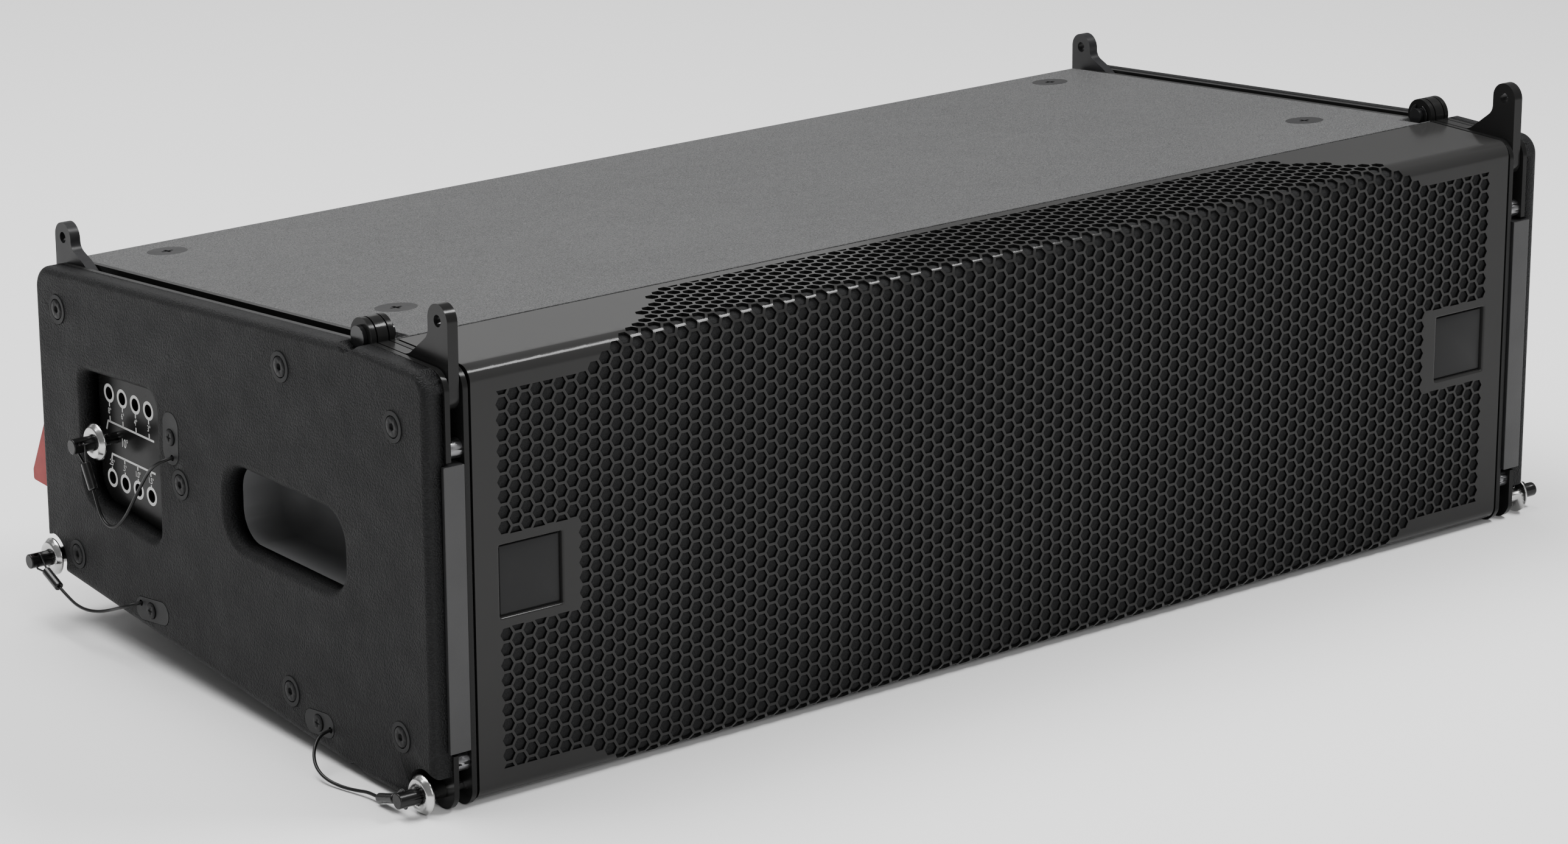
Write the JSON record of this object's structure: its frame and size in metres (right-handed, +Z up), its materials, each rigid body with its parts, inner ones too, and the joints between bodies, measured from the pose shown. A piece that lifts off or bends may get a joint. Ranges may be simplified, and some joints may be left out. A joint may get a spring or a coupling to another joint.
{
  "type": "line array speaker",
  "caption": "Wedge-sided line array speaker with wrapped perforated grille, side handles, fold-out rigging links, splay index holes and lanyard-tied quick-release pins.",
  "frame": {"origin": "centre of the base of the bounding box, lanyards left out", "axes": "+X to the right seen from the front, +Y to the rear (the grille faces -Y), +Z up as the element hangs"},
  "size_m": [1.0558, 0.559, 0.3428],
  "materials": {
    "cabinet_paint": "textured dark grey paint on birch plywood",
    "panel_screw_paint": "textured dark paint",
    "grille_paint": "satin dark grey powder coat",
    "foam": "black open-cell acoustic foam",
    "badge": "satin grey, blank",
    "cover_paint": "very dark charcoal textured skin",
    "plate_steel": "satin black powder coat",
    "slot_rubber": "dark grey moulding",
    "spacer_steel": "zinc plated",
    "front_link_steel": "satin black",
    "rear_link_steel": "red, worn",
    "knuckle_steel": "blackened steel",
    "screw_steel": "black oxide",
    "washer_steel": "black",
    "retainer_steel": "black",
    "cup_plastic": "smooth dark moulding",
    "button_black": "black",
    "ferrule_steel": "plated crimp and wire",
    "pin_aluminium": "turned steel",
    "lanyard_cable": "plastic-coated wire rope",
    "frame_alloy": "black die-cast basket",
    "magnet": "plated motor and heat sink",
    "cone_paper": "pressed paper",
    "surround_foam": "rubber roll",
    "horn_plastic": "moulded",
    "heatsink": "black anodised",
    "socket_plastic": "moulded"
  },
  "bodies": {
    "cabinet": {"badge_plates": "badge", "cabinet_bottom": "cabinet_paint", "cabinet_rear": "cabinet_paint", "cabinet_side_walls": "cabinet_paint", "cabinet_top": "cabinet_paint", "front_baffle": "cabinet_paint", "front_lanyard_left": "lanyard_cable", "front_lanyard_right": "lanyard_cable", "grille": "grille_paint", "grille_foam": "foam", "handle_cups": "cup_plastic", "hf_drivers": "magnet", "index_lanyard_left": "lanyard_cable", "index_lanyard_right": "lanyard_cable", "inner_plates": "plate_steel", "knuckle_clips": "knuckle_steel", "knuckle_pins": "knuckle_steel", "lanyard_plates": "retainer_steel", "lanyard_screws": "screw_steel", "outer_plates": "plate_steel", "panel_screws": "panel_screw_paint", "rear_lanyard_left": "lanyard_cable", "rear_lanyard_right": "lanyard_cable", "rear_link_pivots": "spacer_steel", "rear_module": "heatsink", "rear_sockets": "socket_plastic", "side_cover_left": "cover_paint", "side_cover_right": "cover_paint", "side_screws": "screw_steel", "side_washers": "washer_steel", "slot_covers": "slot_rubber", "slot_spacers": "spacer_steel", "waveguide": "horn_plastic", "woofer_frames": "frame_alloy", "woofer_motors": "magnet", "woofer_surrounds": "surround_foam"},
    "front_pin_left": {"front_pin_left": "pin_aluminium", "front_pin_ferrule_left": "ferrule_steel"},
    "front_button_left": {"front_pin_button_left": "button_black"},
    "front_pin_right": {"front_pin_right": "pin_aluminium", "front_pin_ferrule_right": "ferrule_steel"},
    "front_button_right": {"front_pin_button_right": "button_black"},
    "rear_pin_left": {"rear_pin_left": "pin_aluminium", "rear_pin_ferrule_left": "ferrule_steel"},
    "rear_button_left": {"rear_pin_button_left": "button_black"},
    "rear_pin_right": {"rear_pin_right": "pin_aluminium", "rear_pin_ferrule_right": "ferrule_steel"},
    "rear_button_right": {"rear_pin_button_right": "button_black"},
    "index_pin_left": {"index_pin_left": "pin_aluminium", "index_pin_ferrule_left": "ferrule_steel"},
    "index_button_left": {"index_pin_button_left": "button_black"},
    "index_pin_right": {"index_pin_right": "pin_aluminium", "index_pin_ferrule_right": "ferrule_steel"},
    "index_button_right": {"index_pin_button_right": "button_black"},
    "front_link_left": {"front_link_left": "front_link_steel"},
    "rear_link_left": {"rear_link_left": "rear_link_steel"},
    "cone_left": {"woofer_cone_left": "cone_paper"},
    "front_link_right": {"front_link_right": "front_link_steel"},
    "rear_link_right": {"rear_link_right": "rear_link_steel"},
    "cone_right": {"woofer_cone_right": "cone_paper"}
  },
  "joints": [
    {"name": "front_link_fold_left", "type": "hinge", "parent": "cabinet", "child": "front_link_left", "pos_m": [-0.4795, -0.1811, 0.303], "axis": [1, 0, 0], "range_deg": [-212, 0]},
    {"name": "rear_link_splay_left", "type": "hinge", "parent": "cabinet", "child": "rear_link_left", "pos_m": [-0.4795, -0.2175, 0.237], "axis": [1, 0, 0], "range_deg": [0, 10.72]},
    {"name": "front_pin_slide_left", "type": "slide", "parent": "cabinet", "child": "front_pin_left", "axis": [-1, 0, 0], "range_m": [0, 0.025]},
    {"name": "front_button_press_left", "type": "slide", "parent": "front_pin_left", "child": "front_button_left", "axis": [1, 0, 0], "range_m": [0, 0.0025], "stiffness_N_per_m": 800},
    {"name": "rear_pin_slide_left", "type": "slide", "parent": "cabinet", "child": "rear_pin_left", "axis": [-1, 0, 0], "range_m": [0, 0.025]},
    {"name": "rear_button_press_left", "type": "slide", "parent": "rear_pin_left", "child": "rear_button_left", "axis": [1, 0, 0], "range_m": [0, 0.0025], "stiffness_N_per_m": 800},
    {"name": "index_pin_slide_left", "type": "slide", "parent": "cabinet", "child": "index_pin_left", "axis": [-1, 0, 0], "range_m": [-0.013, 0.025]},
    {"name": "index_button_press_left", "type": "slide", "parent": "index_pin_left", "child": "index_button_left", "axis": [1, 0, 0], "range_m": [0, 0.0025], "stiffness_N_per_m": 800},
    {"name": "cone_travel_left", "type": "slide", "parent": "cabinet", "child": "cone_left", "axis": [0, 1, 0], "range_m": [-0.006, 0.006], "stiffness_N_per_m": 3000},
    {"name": "front_link_fold_right", "type": "hinge", "parent": "cabinet", "child": "front_link_right", "pos_m": [0.4795, -0.1811, 0.303], "axis": [1, 0, 0], "range_deg": [-212, 0]},
    {"name": "rear_link_splay_right", "type": "hinge", "parent": "cabinet", "child": "rear_link_right", "pos_m": [0.4795, -0.2175, 0.237], "axis": [1, 0, 0], "range_deg": [0, 10.72]},
    {"name": "front_pin_slide_right", "type": "slide", "parent": "cabinet", "child": "front_pin_right", "axis": [1, 0, 0], "range_m": [0, 0.025]},
    {"name": "front_button_press_right", "type": "slide", "parent": "front_pin_right", "child": "front_button_right", "axis": [-1, 0, 0], "range_m": [0, 0.0025], "stiffness_N_per_m": 800},
    {"name": "rear_pin_slide_right", "type": "slide", "parent": "cabinet", "child": "rear_pin_right", "axis": [1, 0, 0], "range_m": [0, 0.025]},
    {"name": "rear_button_press_right", "type": "slide", "parent": "rear_pin_right", "child": "rear_button_right", "axis": [-1, 0, 0], "range_m": [0, 0.0025], "stiffness_N_per_m": 800},
    {"name": "index_pin_slide_right", "type": "slide", "parent": "cabinet", "child": "index_pin_right", "axis": [1, 0, 0], "range_m": [-0.013, 0.025]},
    {"name": "index_button_press_right", "type": "slide", "parent": "index_pin_right", "child": "index_button_right", "axis": [-1, 0, 0], "range_m": [0, 0.0025], "stiffness_N_per_m": 800},
    {"name": "cone_travel_right", "type": "slide", "parent": "cabinet", "child": "cone_right", "axis": [0, 1, 0], "range_m": [-0.006, 0.006], "stiffness_N_per_m": 3000}
  ]
}
